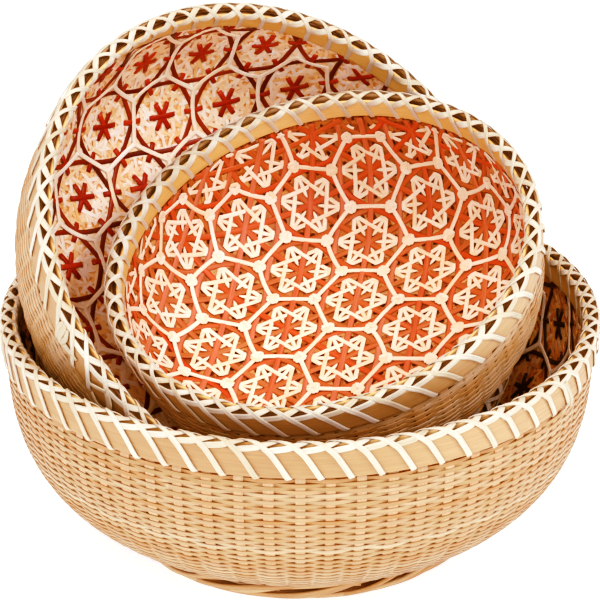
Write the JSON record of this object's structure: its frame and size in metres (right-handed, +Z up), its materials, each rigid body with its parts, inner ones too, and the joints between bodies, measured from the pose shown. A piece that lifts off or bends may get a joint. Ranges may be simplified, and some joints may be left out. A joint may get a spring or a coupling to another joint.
{
  "type": "nested woven bowl set",
  "caption": "Nested set of round woven bamboo bowls, the inner ones leaning out of the outer one, each with a patterned liner, lashed rim hoops and a cane foot ring.",
  "frame": {"origin": "on the floor under the centre of the large bowl, which is the bottom centre of the whole set", "axes": "+Z up, along the large bowl's own axis; -Y is the front, the side the small bowl faces"},
  "size_m": [0.3712, 0.3712, 0.3036],
  "materials": {
    "wall_weave": "matt split bamboo, plain weave",
    "hoop_bamboo": "satin flat bamboo band",
    "lashing_strip": "satin pale bamboo strip",
    "foot_cane": "matt cane",
    "liner_natural": "satin natural bamboo strip",
    "liner_brown": "satin dyed bamboo strip, near-black brown",
    "liner_dark_red": "satin dyed bamboo strip, dark red",
    "liner_red": "satin dyed bamboo strip, orange red"
  },
  "bodies": {
    "large_bowl": {"large_woven_wall": "wall_weave", "large_liner": "liner_brown", "large_outer_hoop": "hoop_bamboo", "large_inner_hoop": "hoop_bamboo", "large_rim_lashing": "lashing_strip", "large_foot_ring": "foot_cane"},
    "medium_bowl": {"medium_woven_wall": "wall_weave", "medium_liner": "liner_dark_red", "medium_outer_hoop": "hoop_bamboo", "medium_inner_hoop": "hoop_bamboo", "medium_rim_lashing": "lashing_strip", "medium_foot_ring": "foot_cane"},
    "small_bowl": {"small_woven_wall": "wall_weave", "small_liner": "liner_red", "small_outer_hoop": "hoop_bamboo", "small_inner_hoop": "hoop_bamboo", "small_rim_lashing": "lashing_strip", "small_foot_ring": "foot_cane"}
  },
  "joints": [
    {"name": "medium_bowl_lift", "type": "slide", "parent": "large_bowl", "child": "medium_bowl", "axis": [0, 0, 1], "range_m": [0, 0.25]},
    {"name": "small_bowl_lift", "type": "slide", "parent": "medium_bowl", "child": "small_bowl", "axis": [0.2442, -0.3237, 0.9141], "range_m": [0, 0.2]}
  ]
}
